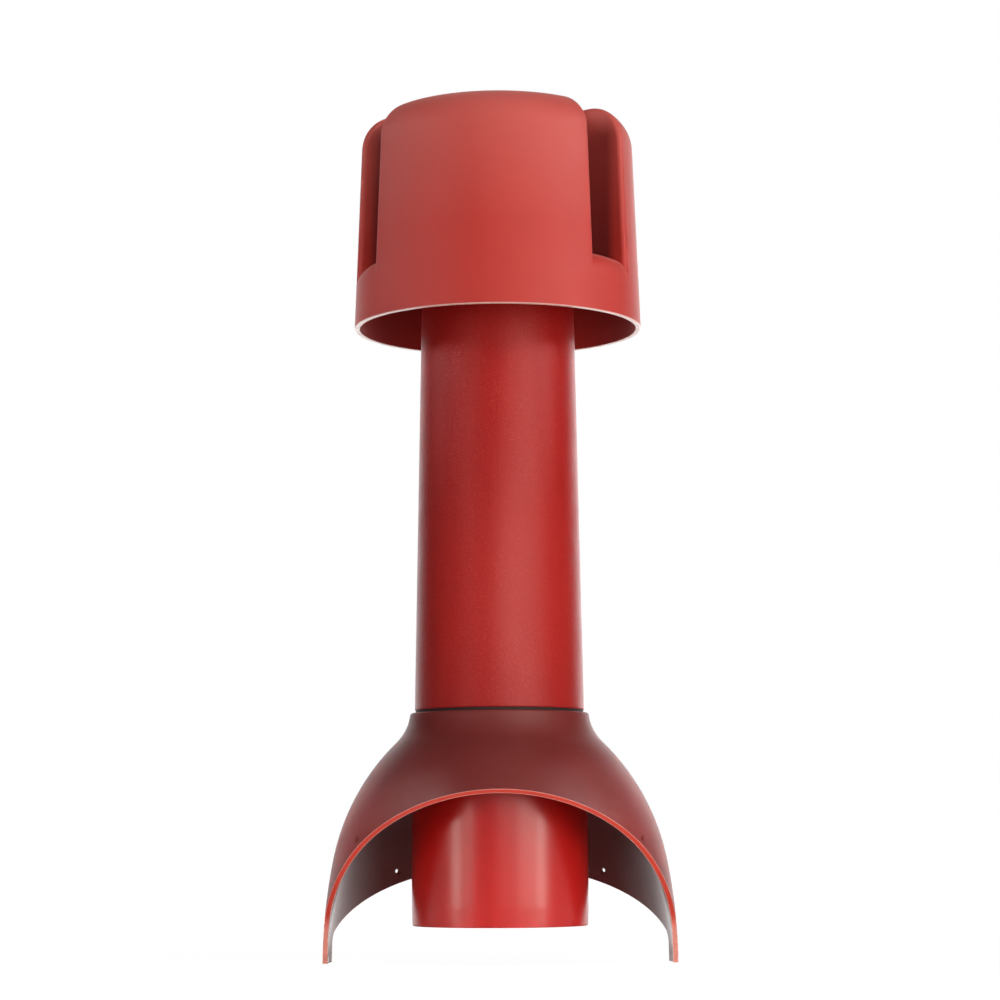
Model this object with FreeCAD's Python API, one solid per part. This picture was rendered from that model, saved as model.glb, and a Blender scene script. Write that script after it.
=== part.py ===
import FreeCAD, Part
import math
import os
from FreeCAD import Placement, Rotation, Vector

# Roof vent pipe: hood, riser pipe, gasket, bell cover and duct spigot on one upright axis.
# Millimetres, Z up. The origin lies on the pipe axis, level with the ends of the two side tabs.
# The front, with the steeper cut of the bell, faces -Y. Azimuths count from the front towards +X.

# Bell cover
bell_radius = 110.2
bell_wall = 3.2
bell_side_radius = 323.0
bell_side_angle = 11.5
bell_crown_radius = 138.8
bell_throat_radius = 28.5
bell_collar_radius = 55.8
bell_lip_drop = 2.5
bell_lip_bevel = 0.8
bell_ledge_thickness = 3.2

# Cuts that let the bell stand plumb on steep and on shallow roofs
front_cut_pitch = 45.0
back_cut_pitch = 26.3
tab_front = 8.0
tab_back = 17.0
tab_front_height = 25.2
tab_back_height = 16.8
tab_corner_rounding = 9.0
score_depth = 0.45

# Screw holes in the bell
screw_hole_radius = 1.4
screw_hole_chamfer = 1.0
front_hole_azimuth = 59.2
front_hole_rise = 2.4
back_hole_azimuth = 139.4
back_hole_rise = 6.3

# Riser pipe
riser_foot_radius = 53.1
riser_draft = 1.03
riser_wall = 2.8
riser_length = 343.5
riser_edge_bevel = 0.6

# Gasket between bell and riser
gasket_thickness = 1.7
gasket_inset = 0.6

# Duct spigot, for a pipe of 110 mm
spigot_radius = 55.0
spigot_wall = 2.8
spigot_foot_height = 22.8
spigot_taper_length = 12.0
spigot_taper = 0.4
spigot_foot_chamfer = 0.6
spigot_shoulder_height = 34.0
spigot_register_height = 3.5
neck_engagement = 36.0
neck_clearance = 0.25
neck_wall = 2.6
collar_clearance = 0.3
bore_clearance = 0.3

# Hood
hood_rim_radius = 91.2
hood_draft = 2.2
hood_wall = 3.2
hood_height = 138.9
hood_shoulder_radius = 24.0
hood_rim_bevel = 0.5
outlet_height = 34.5
channel_azimuths = (52.7, 171.6, -69.5)
channel_width = 33.0
channel_height = 100.9
channel_corner_radius = 4.0
channel_edge_rounding = 3.0
ledge_rounding = 12.0
pipe_seat_gap = 0.3
stop_rib_thickness = 2.6
stop_rib_reach = 9.0
rib_root = 1.2

# How far cutting shapes reach past what they cut, and how close counts as touching
overrun = 2.0
tolerance = 0.001


def unit(angle):
    """Direction in the profile plane, measured from the outward horizontal."""
    return math.cos(math.radians(angle)), math.sin(math.radians(angle))


side_dir = unit(bell_side_angle)
side_centre = (bell_radius - bell_side_radius, 0.0)
crown_start = (side_centre[0] + bell_side_radius * side_dir[0], bell_side_radius * side_dir[1])
crown_centre = (
    crown_start[0] - bell_crown_radius * side_dir[0],
    crown_start[1] - bell_crown_radius * side_dir[1],
)
throat_centre_radius = bell_collar_radius + bell_throat_radius
throat_run = throat_centre_radius - crown_centre[0]
throat_rise = math.sqrt((bell_crown_radius + bell_throat_radius) ** 2 - throat_run ** 2)
throat_centre = (throat_centre_radius, crown_centre[1] + throat_rise)
throat_angle = math.degrees(math.atan2(throat_rise, throat_run))

lip_z = throat_centre[1] - bell_lip_drop
ledge_z = lip_z - bell_ledge_thickness
riser_foot_z = lip_z + gasket_thickness
riser_top_z = riser_foot_z + riser_length
roof_z = riser_top_z + outlet_height
hood_top_z = roof_z + hood_wall
hood_rim_z = hood_top_z - hood_height
channel_floor_z = hood_top_z - channel_height


def riser_radius(z):
    return riser_foot_radius - (z - riser_foot_z) * math.tan(math.radians(riser_draft))


def riser_bore(z):
    return riser_radius(z) - riser_wall


def neck_radius(z):
    return riser_bore(z) - neck_clearance


channel_seat_radius = riser_radius(channel_floor_z - hood_wall) + pipe_seat_gap


def hood_radius(z):
    return hood_rim_radius - (z - hood_rim_z) * math.tan(math.radians(hood_draft))


def front_cut_z(distance):
    """Height of the front cut at a distance in front of the pipe axis."""
    return tab_front_height + (distance - tab_front) * math.tan(math.radians(front_cut_pitch))


def back_cut_z(distance):
    """Height of the back cut at a distance behind the pipe axis."""
    return tab_back_height + (distance - tab_back) * math.tan(math.radians(back_cut_pitch))


def throat_inner_radius(z):
    arc = bell_throat_radius + bell_wall
    return throat_centre[0] - math.sqrt(arc ** 2 - (throat_centre[1] - z) ** 2)


def rounded_wire(corners):
    """Closed outline in the XZ plane from (across, up, rounding radius) corners."""
    points = [Vector(across, 0, up) for across, up, _ in corners]
    bends = []
    for index, (_, _, radius) in enumerate(corners):
        here = points[index]
        before = (points[index - 1] - here).normalize()
        after = (points[(index + 1) % len(points)] - here).normalize()
        half = before.getAngle(after) / 2
        inward = (before + after).normalize()
        bends.append((
            here + before * (radius / math.tan(half)),
            here + inward * (radius / math.sin(half) - radius),
            here + after * (radius / math.tan(half)),
        ))
    outline = []
    for index, (first, middle, last) in enumerate(bends):
        following = bends[(index + 1) % len(bends)][0]
        if corners[index][2]:
            outline.append(Part.Arc(first, middle, last).toShape())
        outline.append(Part.LineSegment(last, following).toShape())
    return Part.Wire(outline)


def turned(wire):
    """Solid of revolution of an outline in the XZ plane."""
    return Part.Face(wire).revolve(Vector(0, 0, 0), Vector(0, 0, 1), 360)


def at_azimuth(shape, azimuth):
    """Turn a shape that was made towards the front (-Y) round to an azimuth."""
    placed = shape.copy()
    placed.Placement = Placement(Vector(0, 0, 0), Rotation(Vector(0, 0, 1), azimuth))
    return placed


def profile_arc(centre, radius, start_angle, end_angle):
    """Arc in the XZ plane between two directions from its centre."""
    def point(angle):
        across, up = unit(angle)
        return Vector(centre[0] + radius * across, 0, centre[1] + radius * up)
    middle = (start_angle + end_angle) / 2
    return Part.Arc(point(start_angle), point(middle), point(end_angle)).toShape()


def bell_wall_arcs(depth, lip):
    """Side, crown and throat arcs of the bell at a depth below its outer face, up to a height."""
    side_arc = bell_side_radius - depth
    crown_arc = bell_crown_radius - depth
    throat_arc = bell_throat_radius + depth
    lip_angle = 180 + math.degrees(math.asin((throat_centre[1] - lip) / throat_arc))
    return [
        profile_arc(side_centre, side_arc, 0, bell_side_angle),
        profile_arc(crown_centre, crown_arc, bell_side_angle, throat_angle),
        profile_arc(throat_centre, throat_arc, 180 + throat_angle, lip_angle),
    ]


def bell_shell():
    """Turned shell of the bell, with the inner ledge that the gasket lies on."""
    bore = neck_radius(lip_z) + bore_clearance
    outer = bell_wall_arcs(0, lip_z - bell_lip_bevel)
    inner = bell_wall_arcs(bell_wall, ledge_z)
    lip = outer[-1].valueAt(outer[-1].LastParameter)
    corners = [
        lip,
        Vector(lip.x - bell_lip_bevel, 0, lip_z),
        Vector(bore, 0, lip_z),
        Vector(bore, 0, ledge_z),
        inner[-1].valueAt(inner[-1].LastParameter),
    ]
    lines = [Part.LineSegment(a, b).toShape() for a, b in zip(corners, corners[1:])]
    foot = Part.LineSegment(Vector(bell_radius - bell_wall, 0, 0), Vector(bell_radius, 0, 0))
    return turned(Part.Wire(Part.__sortEdges__(outer + lines + inner + [foot.toShape()])))


def bell_keep():
    """What the two sloping cuts leave of the bell: a side outline, drawn wide on both sides."""
    reach = bell_radius + overrun
    corners = [
        (-tab_front, -overrun, 0),
        (tab_back, -overrun, 0),
        (tab_back, tab_back_height, tab_corner_rounding),
        (reach, back_cut_z(reach), 0),
        (reach, lip_z + overrun, 0),
        (-reach, lip_z + overrun, 0),
        (-reach, front_cut_z(reach), 0),
        (-tab_front, tab_front_height, tab_corner_rounding),
    ]
    side = Part.Face(rounded_wire(corners))
    side.rotate(Vector(0, 0, 0), Vector(0, 0, 1), 90)
    side.translate(Vector(-reach, 0, 0))
    return side.extrude(Vector(2 * reach, 0, 0))


def score_ring():
    """V-shaped ring that scores the outer face of the side tabs."""
    radius = math.sqrt(bell_side_radius ** 2 - tab_front_height ** 2) + side_centre[0]
    wire = Part.makePolygon([
        Vector(radius - score_depth, 0, tab_front_height),
        Vector(radius + overrun, 0, tab_front_height + overrun),
        Vector(radius + overrun, 0, tab_front_height - overrun),
        Vector(radius - score_depth, 0, tab_front_height),
    ])
    return turned(wire)


def screw_hole(azimuth, height):
    """Drill along the wall's normal, with a small chamfer on both faces."""
    if height > crown_start[1]:
        centre, arc = crown_centre, bell_crown_radius
    else:
        centre, arc = side_centre, bell_side_radius
    rise = height - centre[1]
    normal = Vector(0, -math.sqrt(arc ** 2 - rise ** 2) / arc, rise / arc)
    outside = Vector(0, -centre[0], centre[1]) + normal * arc
    inside = outside - normal * bell_wall
    start = outside + normal * overrun
    end = inside - normal * overrun
    wide = screw_hole_radius + screw_hole_chamfer + overrun
    sink = screw_hole_chamfer + overrun
    drill = Part.makeCylinder(screw_hole_radius, bell_wall + 2 * overrun, start, normal * -1)
    outer_sink = Part.makeCone(wide, screw_hole_radius, sink, start, normal * -1)
    inner_sink = Part.makeCone(wide, screw_hole_radius, sink, end, normal)
    return at_azimuth(drill.fuse([outer_sink, inner_sink]), azimuth)


def make_bell_cover():
    front_distance = bell_radius * math.cos(math.radians(front_hole_azimuth))
    back_distance = -bell_radius * math.cos(math.radians(back_hole_azimuth))
    front_height = front_cut_z(front_distance) + front_hole_rise
    back_height = back_cut_z(back_distance) + back_hole_rise
    bell = bell_shell().common(bell_keep())
    holes = [screw_hole(side * front_hole_azimuth, front_height) for side in (-1, 1)]
    holes += [screw_hole(side * back_hole_azimuth, back_height) for side in (-1, 1)]
    return bell.cut(holes + [score_ring()])


def make_riser_pipe():
    low = riser_foot_z + riser_edge_bevel
    high = riser_top_z - riser_edge_bevel
    return turned(rounded_wire([
        (riser_bore(riser_foot_z), riser_foot_z, 0),
        (riser_radius(riser_foot_z) - riser_edge_bevel, riser_foot_z, 0),
        (riser_radius(low), low, 0),
        (riser_radius(high), high, 0),
        (riser_radius(riser_top_z) - riser_edge_bevel, riser_top_z, 0),
        (riser_bore(riser_top_z), riser_top_z, 0),
    ]))


def make_pipe_gasket():
    inner = neck_radius(lip_z) + bore_clearance
    outer = riser_foot_radius - gasket_inset
    return turned(rounded_wire([
        (inner, lip_z, 0),
        (outer, lip_z, 0),
        (outer, riser_foot_z, 0),
        (inner, riser_foot_z, 0),
    ]))


def make_duct_spigot():
    register = throat_inner_radius(ledge_z) - collar_clearance
    register_foot = ledge_z - spigot_register_height
    shoulder_foot = register_foot - spigot_shoulder_height
    neck_top = riser_foot_z + neck_engagement
    inner_step = ledge_z - spigot_wall
    foot = spigot_radius - spigot_taper
    return turned(rounded_wire([
        (foot - spigot_wall, spigot_foot_height, 0),
        (foot - spigot_foot_chamfer, spigot_foot_height, 0),
        (foot, spigot_foot_height + spigot_foot_chamfer, 0),
        (spigot_radius, spigot_foot_height + spigot_taper_length, 0),
        (spigot_radius, shoulder_foot, 0),
        (register, register_foot, 0),
        (register, ledge_z, 0),
        (neck_radius(ledge_z), ledge_z, 0),
        (neck_radius(neck_top), neck_top, 0),
        (neck_radius(neck_top) - neck_wall, neck_top, 0),
        (neck_radius(ledge_z) - neck_wall, inner_step, 0),
        (register - spigot_wall, inner_step, 0),
        (register - spigot_wall, register_foot - spigot_wall / 2, 0),
        (spigot_radius - spigot_wall, shoulder_foot - spigot_wall / 2, 0),
        (spigot_radius - spigot_wall, spigot_foot_height + spigot_taper_length, 0),
    ]))


def hood_blank(depth, foot_z, top_z, rounding, bevel=0):
    """Turned body inside the hood's outer face by a depth, between two heights."""
    sideways = depth / math.cos(math.radians(hood_draft))
    corners = [
        (0, foot_z, 0),
        (hood_radius(foot_z + bevel) - sideways, foot_z + bevel, 0),
        (hood_radius(top_z) - sideways, top_z, rounding),
        (0, top_z, 0),
    ]
    if bevel:
        corners.insert(1, (hood_radius(foot_z) - sideways - bevel, foot_z, 0))
    return turned(rounded_wire(corners))


def channel_cutter(depth):
    """Upright slot from outside the hood inwards to the wall that lies against the riser."""
    low = hood_rim_z - overrun
    height = hood_height + 2 * overrun
    width = channel_width + 2 * depth
    reach = hood_rim_radius + overrun
    slot = Part.makeBox(width, reach, height, Vector(-width / 2, -reach, low))
    seat = Part.makeCylinder(channel_seat_radius + hood_wall - depth, height, Vector(0, 0, low))
    cutter = slot.cut(seat)
    inner_corners = [
        edge for edge in cutter.Edges
        if edge.BoundBox.ZLength > channel_height
        and math.hypot(edge.CenterOfMass.x, edge.CenterOfMass.y) < hood_rim_radius
    ]
    return cutter.makeFillet(channel_corner_radius, inner_corners)


def lies_on(edge, shell):
    middle = edge.valueAt((edge.FirstParameter + edge.LastParameter) / 2)
    return shell.distToShape(Part.Vertex(middle))[0] < tolerance


def petal_body(depth):
    """Upper hood body, from below the channels' floor, with the channels cut right through."""
    foot_z = channel_floor_z - ledge_rounding - 2 * hood_wall
    blank = hood_blank(depth, foot_z, hood_top_z - depth, hood_shoulder_radius - depth)
    cutters = [at_azimuth(channel_cutter(depth), azimuth) for azimuth in channel_azimuths]
    body = blank.cut(cutters)
    if depth:
        return body
    skin = blank.Shells[0]
    slots = Part.makeCompound([cutter.Shells[0] for cutter in cutters])
    edges = [
        edge for edge in body.Edges
        if edge.BoundBox.ZMax > foot_z + overrun
        and lies_on(edge, skin) and lies_on(edge, slots)
    ]
    return body.makeFillet(channel_edge_rounding, edges)


def skirt_body(depth):
    """Hood body below the channels, with the rolled edge of their floor."""
    bevel = hood_rim_bevel if not depth else 0
    return hood_blank(depth, hood_rim_z, channel_floor_z - depth, ledge_rounding - depth, bevel)


def stop_rib(azimuth):
    """Rib under the roof of the hood that stands on the rim of the riser."""
    root = channel_seat_radius + rib_root
    rib = Part.makeBox(stop_rib_thickness, stop_rib_reach, roof_z - riser_top_z + rib_root,
                       Vector(-stop_rib_thickness / 2, -root, riser_top_z))
    return at_azimuth(rib, azimuth)


def make_cap_hood():
    outer = petal_body(0).fuse(skirt_body(0)).removeSplitter()
    inner = petal_body(hood_wall).fuse(skirt_body(hood_wall)).removeSplitter()
    hood = outer.cut(inner)
    ribs = [stop_rib(azimuth) for azimuth in channel_azimuths]
    return hood.fuse(ribs).removeSplitter()


def main():
    os.makedirs("parts", exist_ok=True)
    pieces = {
        "cap_hood": make_cap_hood(),
        "riser_pipe": make_riser_pipe(),
        "pipe_gasket": make_pipe_gasket(),
        "bell_cover": make_bell_cover(),
        "duct_spigot": make_duct_spigot(),
    }
    for name, shape in pieces.items():
        solid = shape.Solids[0]
        solid.exportStep("parts/" + name + ".step")
        box = solid.BoundBox
        print(name, "solids", len(shape.Solids), "valid", solid.isValid(),
              "volume %.0f" % solid.Volume,
              "z %.1f to %.1f" % (box.ZMin, box.ZMax))


main()
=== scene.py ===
import math

import bpy
from mathutils import Euler, Matrix, Vector


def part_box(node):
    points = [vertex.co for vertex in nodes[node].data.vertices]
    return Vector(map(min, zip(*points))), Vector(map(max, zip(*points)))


# Roof vent pipe: looks, floor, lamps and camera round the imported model.
# Metres, Z up along the pipe, with the front facing -Y. Azimuths count from the front towards +X.

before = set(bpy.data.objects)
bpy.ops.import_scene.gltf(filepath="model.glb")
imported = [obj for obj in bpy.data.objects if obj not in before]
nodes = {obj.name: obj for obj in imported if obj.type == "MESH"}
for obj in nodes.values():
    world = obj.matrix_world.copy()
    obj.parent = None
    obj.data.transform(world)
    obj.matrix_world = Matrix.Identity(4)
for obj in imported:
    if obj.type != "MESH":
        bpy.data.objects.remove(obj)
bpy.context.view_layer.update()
scene = bpy.context.scene

# Camera, fitted to the outline of the object in the photo
lens_mm = 99.0
sensor_mm = 36.0
eye = (0.00094, -1.728, 0.0754)
tilt_up_degrees = 7.05
roll_degrees = -0.25

# Where the bell is sawn, with the sizes of the CAD
front_cut_pitch = math.radians(45.0)
back_cut_pitch = math.radians(26.3)
tab_front = 0.008
tab_back = 0.017
tab_front_height = 0.0252
tab_back_height = 0.0168
tab_corner_rounding = 0.009

# Heights on the hood, and how far off the axis the painted shade in its channels starts and is full
hood_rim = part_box("cap_hood")[0][2]
hood_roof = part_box("cap_hood")[1][2]
channel_floor = hood_rim + 0.038
channel_shade_start = 0.082
channel_shade_full = 0.076

# Noise scales, per metre
cloud_scale = 9.0
dust_scale = 55.0
grain_scale = 1500.0
coarse_grain_scale = 1000.0
streak_scale = (22.0, 22.0, 3.0)
turning_scale = (6.0, 6.0, 900.0)

# How far a mask fades at a sharp border, and how near to a sawn face still counts as on it
fade = 0.0001
sawn_band = 0.00015


def add_camera():
    data = bpy.data.cameras.new("camera")
    data.lens = lens_mm
    data.sensor_width = sensor_mm
    data.dof.use_dof = False
    data.clip_start = 0.05
    data.clip_end = 20.0
    camera = bpy.data.objects.new("camera", data)
    camera.location = eye
    tilt = Euler((math.radians(90 + tilt_up_degrees), 0, 0)).to_matrix()
    roll = Matrix.Rotation(math.radians(roll_degrees), 3, "Z")
    camera.rotation_euler = (tilt @ roll).to_euler()
    scene.collection.objects.link(camera)
    scene.camera = camera


class Graph:
    """Adds and links shader nodes in the tree of a material or a world."""

    def __init__(self, owner, output_kind="ShaderNodeOutputMaterial"):
        owner.use_nodes = True
        self.tree = owner.node_tree
        self.tree.nodes.clear()
        self.output = self.add(output_kind)

    def add(self, kind, **settings):
        node = self.tree.nodes.new(kind)
        for name, value in settings.items():
            setattr(node, name, value)
        return node

    def link(self, source, target):
        self.tree.links.new(source, target)

    def fill(self, node, values):
        """Gives each value, a number, a tuple or a node's output, to the node's next socket."""
        for socket, value in zip(node.inputs, values):
            if isinstance(value, bpy.types.NodeSocket):
                self.link(value, socket)
            else:
                socket.default_value = value

    def math(self, operation, *values):
        node = self.add("ShaderNodeMath", operation=operation)
        self.fill(node, values)
        return node.outputs[0]

    def vector(self, operation, *values):
        node = self.add("ShaderNodeVectorMath", operation=operation)
        self.fill(node, values)
        return node.outputs["Value" if operation in ("LENGTH", "DOT_PRODUCT") else "Vector"]

    def noise(self, place, scale, detail=2.0, rough=0.5):
        node = self.add("ShaderNodeTexNoise")
        node.inputs["Scale"].default_value = scale
        node.inputs["Detail"].default_value = detail
        node.inputs["Roughness"].default_value = rough
        self.link(place, node.inputs["Vector"])
        return node.outputs["Fac"]

    def stretched(self, place, scale):
        mapping = self.add("ShaderNodeMapping")
        mapping.inputs["Scale"].default_value = scale
        self.link(place, mapping.inputs["Vector"])
        return mapping.outputs["Vector"]

    def span(self, value, low, high, out_low, out_high):
        """Goes from out_low to out_high while the value goes from low to high."""
        node = self.add("ShaderNodeMapRange")
        node.inputs["From Min"].default_value = low
        node.inputs["From Max"].default_value = high
        node.inputs["To Min"].default_value = out_low
        node.inputs["To Max"].default_value = out_high
        self.link(value, node.inputs["Value"])
        return node.outputs["Result"]

    def near(self, value, centre, half, soft):
        """One where a value lies within half of the centre, falling to zero over the soft width."""
        away = self.math("ABSOLUTE", self.math("SUBTRACT", value, centre))
        return self.span(away, half, half + soft, 1, 0)

    def mix(self, factor, first, second):
        node = self.add("ShaderNodeMix", data_type="RGBA")
        self.link(factor, node.inputs["Factor"])
        for socket, value in ((node.inputs["A"], first), (node.inputs["B"], second)):
            if isinstance(value, tuple):
                socket.default_value = (*value, 1)
            else:
                self.link(value, socket)
        return node.outputs["Result"]

    def bump(self, height, strength, distance, normal=None):
        node = self.add("ShaderNodeBump")
        node.inputs["Strength"].default_value = strength
        node.inputs["Distance"].default_value = distance
        self.link(height, node.inputs["Height"])
        if normal:
            self.link(normal, node.inputs["Normal"])
        return node.outputs["Normal"]

    def principled(self):
        shader = self.add("ShaderNodeBsdfPrincipled")
        self.link(shader.outputs[0], self.output.inputs["Surface"])
        return shader

    def blend(self, factor, first, second):
        """Surface made of two shaders, the second where the factor is one."""
        node = self.add("ShaderNodeMixShader")
        self.link(factor, node.inputs["Fac"])
        self.link(first.outputs[0], node.inputs[1])
        self.link(second.outputs[0], node.inputs[2])
        self.link(node.outputs[0], self.output.inputs["Surface"])


class Moulded(Graph):
    """Moulded plastic: grain, faint flow clouds, dust-pale specks and worn-smooth patches."""

    def __init__(
        self, name, colour, deep, pale, speckle, rough, grain=0.0, fine_scale=grain_scale, patches=1.0,
    ):
        self.material = bpy.data.materials.new(name)
        super().__init__(self.material)
        coordinates = self.add("ShaderNodeTexCoord")
        self.place = coordinates.outputs["Object"]
        self.facing = coordinates.outputs["Normal"]
        split = self.add("ShaderNodeSeparateXYZ")
        self.link(self.place, split.inputs[0])
        self.across, self.along, self.up = split.outputs
        self.shader = self.principled()

        clouds = self.noise(self.place, cloud_scale, 3.0)
        streaks = self.noise(self.stretched(self.place, streak_scale), 1.0, 4.0)
        fine = self.noise(self.place, fine_scale, 2.0, 0.6)
        dust = self.noise(self.place, dust_scale, 6.0, 0.7)

        self.colour = self.mix(self.span(clouds, 0.35, 0.65, 0, 1), deep, colour)
        self.colour = self.mix(self.span(streaks, 0.5, 0.8, 0, 0.25), self.colour, pale)
        self.colour = self.mix(self.span(fine, 0.5, 0.75, 0, speckle), self.colour, pale)
        worn = self.math(
            "ADD", self.span(dust, 0.3, 0.7, -0.03, 0.04), self.span(streaks, 0.3, 0.7, -0.02, 0.02))
        self.rough = self.math("ADD", self.math("MULTIPLY", worn, patches), rough)
        self.surface = self.bump(fine, 1.0, grain) if grain else None

    def outwards(self):
        """The place with its height taken out, which points straight away from the pipe's axis."""
        return self.vector("MULTIPLY", self.place, (1, 1, 0))

    def finished(self, gloss, sheen=0.0):
        self.link(self.colour, self.shader.inputs["Base Color"])
        self.link(self.rough, self.shader.inputs["Roughness"])
        self.link(self.surface, self.shader.inputs["Normal"])
        self.shader.inputs["Specular IOR Level"].default_value = gloss
        self.shader.inputs["Sheen Weight"].default_value = sheen
        self.shader.inputs["Sheen Roughness"].default_value = 0.4
        self.shader.inputs["Sheen Tint"].default_value = (1.0, 0.92, 0.88, 1)
        return self.material


def hood_red():
    """Hood: paler towards the roof as painted sheen, a painted reflection on its flat rim, and painted shade
    deep in its channels.
    """
    plastic = Moulded(
        "hood_red", colour=(0.48, 0.022, 0.015), deep=(0.44, 0.018, 0.012), pale=(0.53, 0.06, 0.05),
        speckle=0.15, rough=0.58, grain=0.00006,
    )
    up = plastic.up
    # Painted sheen: the colour turns paler towards the roof, where the light catches it.
    painted_roof_sheen = plastic.span(up, hood_roof - 0.087, hood_roof - 0.007, 0, 0.8)
    plastic.colour = plastic.mix(painted_roof_sheen, plastic.colour, (0.51, 0.08, 0.068))

    # Painted reflection: the flat rim face is coloured pale, as if it mirrored a bright floor; it is also
    # made smoother there.
    rim = plastic.span(up, hood_rim + 0.0002, hood_rim + 0.0006, 1, 0)
    plastic.colour = plastic.mix(rim, plastic.colour, (0.95, 0.62, 0.57))
    plastic.rough = plastic.math("SUBTRACT", plastic.rough, plastic.math("MULTIPLY", rim, 0.3))

    # Painted shade: darker deep in the channels between the petals, where shade falls, and strongest low
    # down.
    deep = plastic.span(plastic.vector("LENGTH", plastic.outwards()), channel_shade_start, channel_shade_full, 0, 1)
    below_roof = plastic.span(up, hood_roof - 0.005, hood_roof - 0.022, 0, 1)
    stronger_low = plastic.span(up, hood_roof - 0.037, channel_floor + 0.004, 0.75, 1)
    above_floor = plastic.span(up, channel_floor - 0.006, channel_floor, 0, 1)
    height = plastic.math("MULTIPLY", plastic.math("MULTIPLY", below_roof, stronger_low), above_floor)
    painted_channel_shade = plastic.math("MULTIPLY", plastic.math("MULTIPLY", deep, height), 0.85)
    plastic.colour = plastic.mix(painted_channel_shade, plastic.colour, (0.10, 0.001, 0.001))
    return plastic.finished(gloss=0.5, sheen=0.25)


def riser_red():
    """Riser: a coarser grain and a faint mould seam down the front and the back."""
    deep = (0.35, 0.005, 0.004)
    plastic = Moulded(
        "riser_red", colour=(0.39, 0.008, 0.006), deep=deep, pale=(0.62, 0.05, 0.04),
        speckle=0.4, rough=0.42, grain=0.00022, fine_scale=coarse_grain_scale,
    )
    seam = plastic.near(plastic.across, 0.0, fade, 0.0004)
    plastic.colour = plastic.mix(plastic.math("MULTIPLY", seam, 0.3), plastic.colour, deep)
    plastic.surface = plastic.bump(seam, 1.0, 0.00003, plastic.surface)
    return plastic.finished(gloss=0.32)


def sawn_side(graph, out, tab_height, pitch):
    """Mask of one cut seen from the side: the tab's upright face, the slope and the rounding between.

    out is the distance from the tab's face, away from the tab.
    """
    slope = math.tan(pitch)
    corner_up = tab_height + tab_corner_rounding * (slope - 1 / math.cos(pitch))
    slope_start = tab_corner_rounding * (1 - math.sin(pitch))
    upright = graph.math(
        "MULTIPLY", graph.near(out, 0.0, fade, fade), graph.span(graph.up, corner_up, corner_up + fade, 1, 0))
    rise = graph.math("ADD", graph.math("MULTIPLY", out, slope), tab_height)
    over_slope = graph.math("SUBTRACT", graph.up, rise)
    sloping = graph.math(
        "MULTIPLY", graph.near(over_slope, 0.0, sawn_band, fade),
        graph.span(out, slope_start, slope_start + fade, 0, 1))
    from_corner = graph.add("ShaderNodeCombineXYZ")
    graph.link(graph.math("SUBTRACT", out, tab_corner_rounding), from_corner.inputs[0])
    graph.link(graph.math("SUBTRACT", graph.up, corner_up), from_corner.inputs[1])
    distance = graph.vector("LENGTH", from_corner.outputs[0])
    rounding = graph.near(distance, tab_corner_rounding, sawn_band, fade)
    return graph.math("MAXIMUM", graph.math("MAXIMUM", upright, sloping), rounding)


def bell_red():
    """Bell: sawn faces painted bright as if lit from below, paler along their edges, and an inside that is
    smoother, with painted glare on its flanks.
    """
    plastic = Moulded(
        "bell_red", colour=(0.20, 0.013, 0.011), deep=(0.16, 0.010, 0.009), pale=(0.26, 0.04, 0.036),
        speckle=0.2, rough=0.54, grain=0.00007,
    )
    front = sawn_side(
        plastic, plastic.math("SUBTRACT", -tab_front, plastic.along), tab_front_height, front_cut_pitch)
    back = sawn_side(
        plastic, plastic.math("SUBTRACT", plastic.along, tab_back), tab_back_height, back_cut_pitch)
    sawn = plastic.math("MAXIMUM", front, back)
    # Painted light: the sawn faces are coloured bright orange-red as if lit from below, and pale pink low on
    # the tabs as painted glare.
    painted_lit_cut_red = (0.88, 0.06, 0.035)
    painted_tab_glare = (0.9, 0.3, 0.25)
    painted_cut_light = plastic.mix(plastic.span(plastic.up, 0.02, 0.03, 0, 1), painted_tab_glare, painted_lit_cut_red)
    plastic.colour = plastic.mix(sawn, plastic.colour, painted_cut_light)

    # Paler along the edges of the sawn faces, where the surface turns.
    cut_edge_reach = 0.0006
    cut_edge_pale = (1.0, 0.7, 0.62)
    soft_edge = plastic.add("ShaderNodeBevel", samples=4)
    soft_edge.inputs["Radius"].default_value = cut_edge_reach
    normal = plastic.add("ShaderNodeNewGeometry").outputs["Normal"]
    turn = plastic.vector("DOT_PRODUCT", soft_edge.outputs[0], normal)
    pale_cut_edge = plastic.math("MULTIPLY", plastic.span(turn, 0.95, 0.995, 1, 0), sawn)
    plastic.colour = plastic.mix(pale_cut_edge, plastic.colour, cut_edge_pale)

    # Painted glare: the inside of the flanks is coloured pale towards the tips; it also gets a clear coat
    # there.
    painted_glare_pale = (0.62, 0.42, 0.42)
    faces_out = plastic.vector("DOT_PRODUCT", plastic.outwards(), plastic.facing)
    inside = plastic.span(faces_out, -0.03, -0.02, 1, 0)
    flank = plastic.span(plastic.math("ABSOLUTE", plastic.across), 0.075, 0.105, 0.1, 1)
    shiny = plastic.math("MULTIPLY", inside, flank)
    painted_inner_glare = plastic.math("MULTIPLY", shiny, plastic.span(plastic.up, 0.02, 0.08, 0.5, 0))
    plastic.colour = plastic.mix(painted_inner_glare, plastic.colour, painted_glare_pale)
    plastic.link(shiny, plastic.shader.inputs["Coat Weight"])
    plastic.shader.inputs["Coat Roughness"].default_value = 0.06
    plastic.shader.inputs["Coat IOR"].default_value = 1.7
    return plastic.finished(gloss=0.5, sheen=0.1)


def spigot_red():
    """Spigot: glossier, without grain, and with fine turning lines round it."""
    plastic = Moulded(
        "spigot_red", colour=(0.64, 0.010, 0.008), deep=(0.60, 0.008, 0.006), pale=(0.70, 0.03, 0.025),
        speckle=0.1, rough=0.3, patches=0.2,
    )
    turned = plastic.noise(plastic.stretched(plastic.place, turning_scale), 1.0, 3.0, 0.6)
    plastic.surface = plastic.bump(turned, 1.0, 0.000004)
    return plastic.finished(gloss=0.65)


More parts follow.
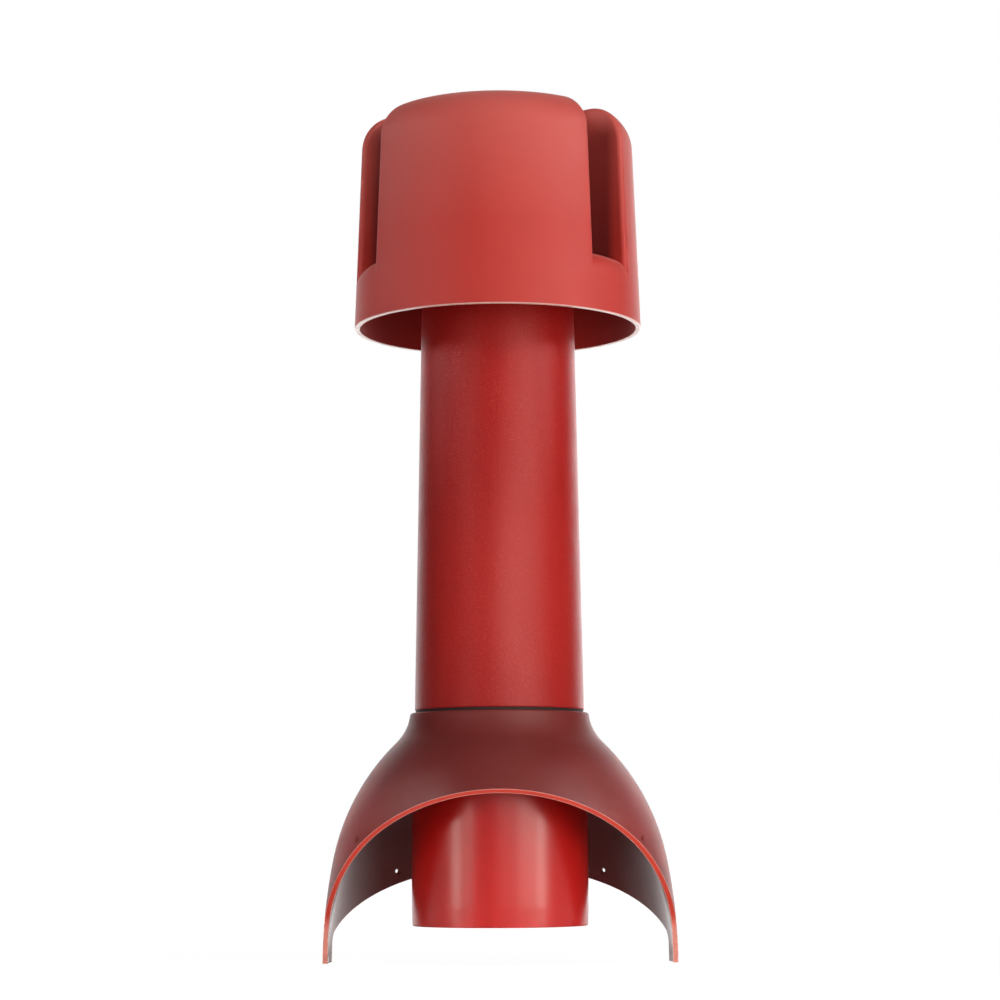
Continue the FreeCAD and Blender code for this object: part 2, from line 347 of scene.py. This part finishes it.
def seal_black():
    """Gasket: matt black rubber, paler where dust clings to it."""
    material = bpy.data.materials.new("seal_black")
    graph = Graph(material)
    place = graph.add("ShaderNodeTexCoord").outputs["Object"]
    shader = graph.principled()
    fine = graph.noise(place, grain_scale, 3.0, 0.6)
    dust = graph.noise(place, 60.0, 5.0, 0.7)
    colour = graph.mix(graph.span(dust, 0.45, 0.8, 0, 0.5), (0.008, 0.007, 0.007), (0.03, 0.025, 0.025))
    graph.link(colour, shader.inputs["Base Color"])
    graph.link(graph.span(dust, 0.3, 0.7, 0.65, 0.85), shader.inputs["Roughness"])
    graph.link(graph.bump(fine, 0.4, 0.0003), shader.inputs["Normal"])
    return material


def floor_white():
    """Diffuse for light and shadow, lifted to plain white for what the camera sees and gloss reflects."""
    material = bpy.data.materials.new("floor_white")
    graph = Graph(material)
    place = graph.add("ShaderNodeTexCoord").outputs["Object"]
    away = graph.vector("LENGTH", place)
    tone = graph.mix(graph.noise(place, 3.0, 2.0), (0.7, 0.7, 0.7), (0.693, 0.693, 0.6895))
    diffuse = graph.add("ShaderNodeBsdfDiffuse")
    graph.link(tone, diffuse.inputs["Color"])
    glow = graph.add("ShaderNodeEmission")
    glow.inputs["Strength"].default_value = 1.05
    rays = graph.add("ShaderNodeLightPath").outputs
    seen = graph.math("MULTIPLY", rays["Is Camera Ray"], graph.span(away, 0.25, 1.1, 0.93, 1.0))
    shine = graph.math("MULTIPLY", rays["Is Glossy Ray"], graph.span(away, 0.15, 0.5, 0.0, 1.0))
    share = graph.math("MAXIMUM", seen, graph.math("MAXIMUM", shine, rays["Is Transmission Ray"]))
    graph.blend(share, diffuse, glow)
    return material


def studio_world():
    """Faint even light on the object, and plain white for what the camera sees."""
    world = bpy.data.worlds.new("studio")
    graph = Graph(world, "ShaderNodeOutputWorld")
    dim, white = graph.add("ShaderNodeBackground"), graph.add("ShaderNodeBackground")
    for background, strength in ((dim, 0.06), (white, 1.0)):
        background.inputs["Color"].default_value = (1, 1, 1, 1)
        background.inputs["Strength"].default_value = strength
    rays = graph.add("ShaderNodeLightPath").outputs
    graph.blend(graph.math("MAXIMUM", rays["Is Camera Ray"], rays["Is Transmission Ray"]), dim, white)
    scene.world = world


def softbox(name, azimuth, distance, height, aim, width, tall, power, tint, spread=180):
    """Area lamp that points at a height on the pipe's axis. Azimuth and spread are in degrees."""
    data = bpy.data.lights.new(name, "AREA")
    data.shape = "RECTANGLE"
    data.size = width
    data.size_y = tall
    data.energy = power
    data.color = tint
    data.spread = math.radians(spread)
    lamp = bpy.data.objects.new(name, data)
    turn = math.radians(azimuth)
    lamp.location = (distance * math.sin(turn), -distance * math.cos(turn), height)
    direction = Vector((0, 0, aim)) - lamp.location
    lamp.rotation_euler = direction.to_track_quat("-Z", "Y").to_euler()
    lamp.visible_camera = False
    scene.collection.objects.link(lamp)


def add_lamps():
    """Two upright lamps for the highlights, fills, and narrow lamps that lift one part each."""
    warm = (1.0, 0.97, 0.88)
    plain = (1.0, 1.0, 1.0)
    # Name, azimuth, distance, height, height aimed at, width, tallness, watts, tint, spread
    softbox("key_right", 40, 0.65, 0.42, 0.42, 0.38, 0.84, 3.2, warm)
    softbox("strip_left", -39, 0.6, 0.42, 0.42, 0.05, 0.84, 0.75, warm)
    softbox("front_fill", 12, 1.5, 0.35, 0.3, 0.8, 0.7, 2.3, warm)
    softbox("hood_right", 76, 0.8, 0.75, 0.47, 0.3, 0.3, 0.085, plain, 16)
    softbox("hood_left", -66, 0.8, 0.75, 0.46, 0.3, 0.3, 0.042, plain, 15)
    softbox("hood_side", -100, 0.8, 0.75, 0.46, 0.3, 0.3, 0.04, plain, 15)
    softbox("hood_front", 8, 0.9, 1.3, 0.54, 0.4, 0.3, 0.07, warm, 20)
    softbox("bell_right", 76, 0.75, 0.75, -0.02, 0.2, 0.04, 0.038, plain, 8)
    softbox("bell_left", -76, 0.75, 0.75, -0.02, 0.2, 0.04, 0.033, plain, 8)
    softbox("foot_right", 56, 1.0, 0.06, 0.045, 0.4, 0.1, 0.014, warm, 14)
    softbox("foot_left", -58, 1.0, 0.06, 0.045, 0.3, 0.1, 0.013, warm, 14)
    softbox("riser_low", 12, 1.0, 0.35, 0.21, 0.3, 0.1, 0.03, warm, 12)
    softbox("front_top", 10, 1.0, 1.5, 0.45, 0.8, 0.5, 0.06, warm, 26)
    softbox("back_right", 156, 1.7, 0.5, 0.3, 1.0, 1.0, 11, plain)
    softbox("back_left", -158, 1.7, 0.5, 0.3, 1.0, 1.0, 7, plain)
    softbox("back_low", 180, 1.9, 0.15, 0.15, 0.6, 0.3, 1.0, plain)
    softbox("top", 0, 0.15, 1.5, 0.3, 0.4, 0.4, 0.03, plain, 20)


add_camera()

looks = {
    "cap_hood": hood_red(),
    "riser_pipe": riser_red(),
    "pipe_gasket": seal_black(),
    "bell_cover": bell_red(),
    "duct_spigot": spigot_red(),
}
for name, material in looks.items():
    slots = nodes[name].data.materials
    slots.clear()
    slots.append(material)

bpy.ops.mesh.primitive_plane_add(size=8.0, location=(0, 0, -0.0005))
floor = bpy.context.object
floor.name = "floor"
floor.data.materials.append(floor_white())

studio_world()
add_lamps()

scene.view_settings.view_transform = "Standard"
